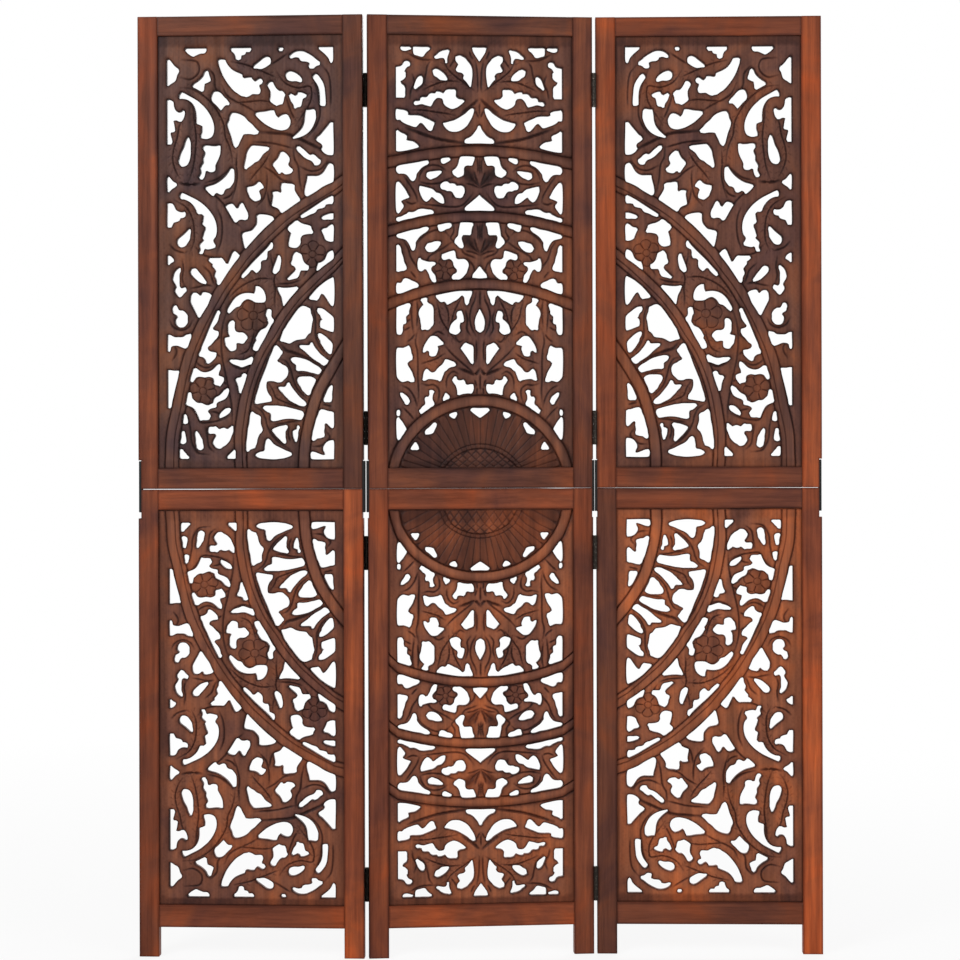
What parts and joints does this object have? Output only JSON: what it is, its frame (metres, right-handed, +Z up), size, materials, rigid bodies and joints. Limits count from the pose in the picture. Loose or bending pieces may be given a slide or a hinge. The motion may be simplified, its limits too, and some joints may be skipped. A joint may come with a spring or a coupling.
{
  "type": "carved jali folding screen",
  "caption": "Folding room screen of dark stained wood: hinged framed panels hold pierced and carved floral lattice boards, and stand on short feet.",
  "frame": {"origin": "on the floor, in the middle of the rectangle the standing screen fills", "axes": "+Z up, the carved front faces -Y, +X runs from the left panel to the right panel"},
  "size_m": [1.2016, 0.0548, 1.65],
  "materials": {
    "frame_wood": "stained and waxed, satin",
    "fret_wood": "stained, carved, satin",
    "black_steel": "black painted",
    "hinge_steel": "darkened steel"
  },
  "bodies": {
    "left_panel": {"left_fold_above_middle_hinge_left_leaf": "hinge_steel", "left_fold_below_middle_hinge_left_leaf": "hinge_steel", "left_fold_bottom_hinge_left_leaf": "hinge_steel", "left_fold_top_hinge_left_leaf": "hinge_steel", "left_lower_bottom_rail": "frame_wood", "left_lower_fret_board": "fret_wood", "left_lower_left_stile": "frame_wood", "left_lower_right_stile": "frame_wood", "left_lower_top_rail": "frame_wood", "left_mending_plates": "black_steel", "left_upper_bottom_rail": "frame_wood", "left_upper_fret_board": "fret_wood", "left_upper_left_stile": "frame_wood", "left_upper_right_stile": "frame_wood", "left_upper_top_rail": "frame_wood"},
    "centre_panel": {"centre_lower_bottom_rail": "frame_wood", "centre_lower_fret_board": "fret_wood", "centre_lower_left_stile": "frame_wood", "centre_lower_right_stile": "frame_wood", "centre_lower_top_rail": "frame_wood", "centre_mending_plates": "black_steel", "centre_upper_bottom_rail": "frame_wood", "centre_upper_fret_board": "fret_wood", "centre_upper_left_stile": "frame_wood", "centre_upper_right_stile": "frame_wood", "centre_upper_top_rail": "frame_wood", "left_fold_above_middle_hinge_centre_leaf": "hinge_steel", "left_fold_below_middle_hinge_centre_leaf": "hinge_steel", "left_fold_bottom_hinge_centre_leaf": "hinge_steel", "left_fold_hinge_pins": "hinge_steel", "left_fold_top_hinge_centre_leaf": "hinge_steel", "right_fold_above_middle_hinge_centre_leaf": "hinge_steel", "right_fold_below_middle_hinge_centre_leaf": "hinge_steel", "right_fold_bottom_hinge_centre_leaf": "hinge_steel", "right_fold_hinge_pins": "hinge_steel", "right_fold_top_hinge_centre_leaf": "hinge_steel"},
    "right_panel": {"right_fold_above_middle_hinge_right_leaf": "hinge_steel", "right_fold_below_middle_hinge_right_leaf": "hinge_steel", "right_fold_bottom_hinge_right_leaf": "hinge_steel", "right_fold_top_hinge_right_leaf": "hinge_steel", "right_lower_bottom_rail": "frame_wood", "right_lower_fret_board": "fret_wood", "right_lower_left_stile": "frame_wood", "right_lower_right_stile": "frame_wood", "right_lower_top_rail": "frame_wood", "right_mending_plates": "black_steel", "right_upper_bottom_rail": "frame_wood", "right_upper_fret_board": "fret_wood", "right_upper_left_stile": "frame_wood", "right_upper_right_stile": "frame_wood", "right_upper_top_rail": "frame_wood"}
  },
  "joints": [
    {"name": "left_fold", "type": "hinge", "parent": "centre_panel", "child": "left_panel", "pos_m": [-0.20115, -0.00311, 0.82025], "axis": [0, 0, -1], "range_deg": [-8, 172]},
    {"name": "right_fold", "type": "hinge", "parent": "centre_panel", "child": "right_panel", "pos_m": [0.20135, 0.00299, 0.82025], "axis": [0, 0, -1], "range_deg": [-6.5, 173.5]}
  ]
}
